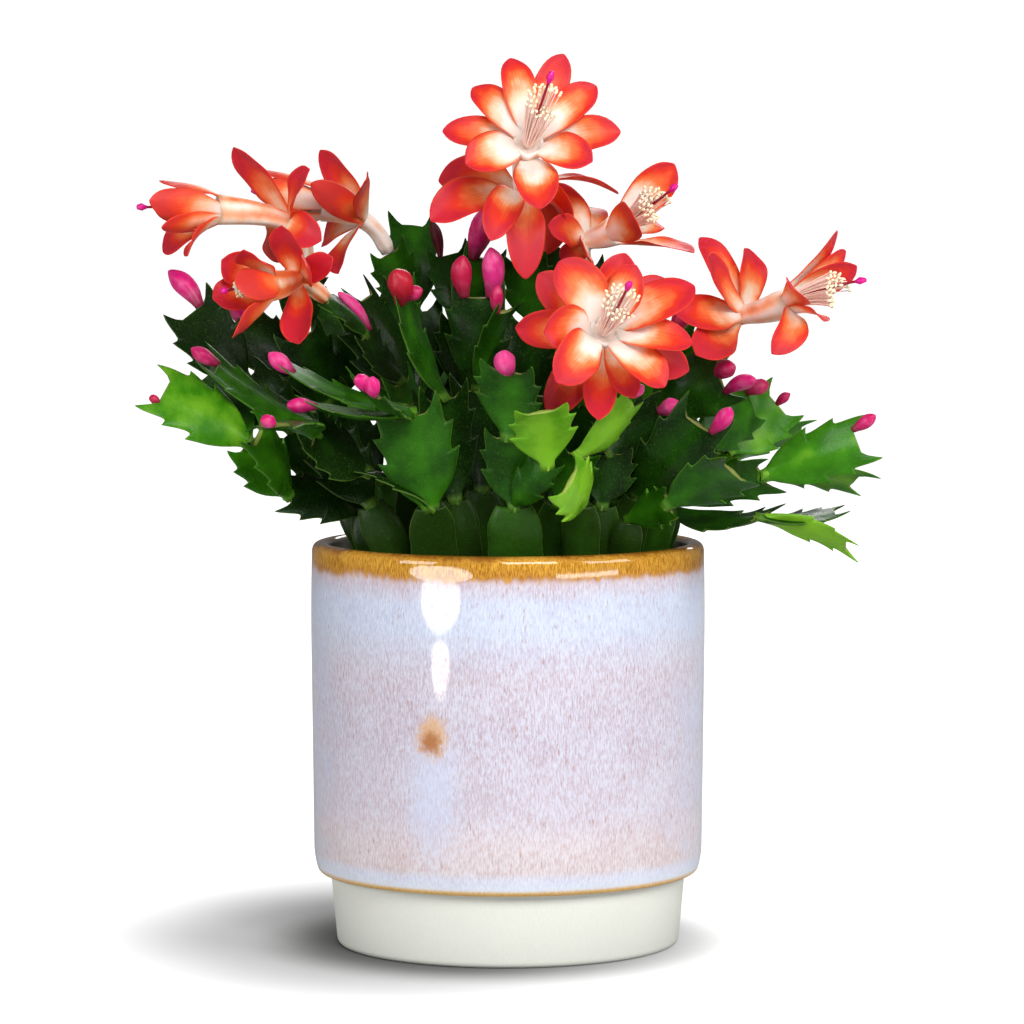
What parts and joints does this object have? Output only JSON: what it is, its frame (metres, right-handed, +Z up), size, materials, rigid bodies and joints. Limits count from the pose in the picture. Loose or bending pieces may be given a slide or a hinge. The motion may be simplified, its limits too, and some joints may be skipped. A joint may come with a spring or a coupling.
{
  "type": "potted christmas cactus",
  "caption": "Christmas cactus in bloom, its flat toothed stems arching out of a plastic growing pot inside a glazed ceramic cover pot.",
  "frame": {"origin": "centre of the cover pot's flat foot, on the surface it stands on", "axes": "+Z up along the pot's axis, -Y the front that the picture shows, +X to the right"},
  "size_m": [0.2482, 0.211, 0.308],
  "materials": {
    "glazed_stoneware": "glossy reactive glaze over a bare matte foot",
    "black_plastic": "thin formed plastic, matte",
    "potting_soil": "damp peat and bark, rough",
    "cactus_pad": "waxy, semi-gloss",
    "petal": "thin petal, satin",
    "stamen": "thin filaments, matte"
  },
  "bodies": {
    "root": {"cachepot": "glazed_stoneware", "growing_pot": "black_plastic", "potting_soil": "potting_soil", "shoot_top_left": "cactus_pad", "shoot_left_back": "cactus_pad", "shoot_left_edge": "cactus_pad", "shoot_top_right": "cactus_pad", "shoot_top_back": "cactus_pad", "shoot_mid_right": "cactus_pad", "shoot_right_high": "cactus_pad", "shoot_left_low": "cactus_pad", "shoot_centre_left": "cactus_pad", "shoot_left_high": "cactus_pad", "shoot_left_mid": "cactus_pad", "shoot_left_bud": "cactus_pad", "shoot_shiny": "cactus_pad", "shoot_bright": "cactus_pad", "shoot_top_mid": "cactus_pad", "shoot_centre_high": "cactus_pad", "shoot_centre_front": "cactus_pad", "shoot_front_stub": "cactus_pad", "shoot_twist": "cactus_pad", "shoot_mid_front": "cactus_pad", "shoot_big_bud": "cactus_pad", "shoot_right_mid": "cactus_pad", "shoot_right_light": "cactus_pad", "shoot_right_edge": "cactus_pad", "shoot_right": "cactus_pad", "shoot_bright_right": "cactus_pad", "shoot_right_low": "cactus_pad", "shoot_back_1": "cactus_pad", "shoot_back_2": "cactus_pad", "shoot_back_3": "cactus_pad", "shoot_back_4": "cactus_pad", "shoot_back_5": "cactus_pad", "shoot_back_6": "cactus_pad", "shoot_back_7": "cactus_pad", "bloom_top": "petal", "bloom_top_stamens": "stamen", "bloom_front": "petal", "bloom_front_stamens": "stamen", "bloom_high_right": "petal", "bloom_high_right_stamens": "stamen", "bloom_right": "petal", "bloom_right_stamens": "stamen", "bloom_left": "petal", "bloom_left_stamens": "stamen", "bloom_left_low": "petal", "bloom_left_low_stamens": "stamen", "bloom_left_high": "petal", "bloom_left_high_stamens": "stamen"}
  },
  "joints": []
}
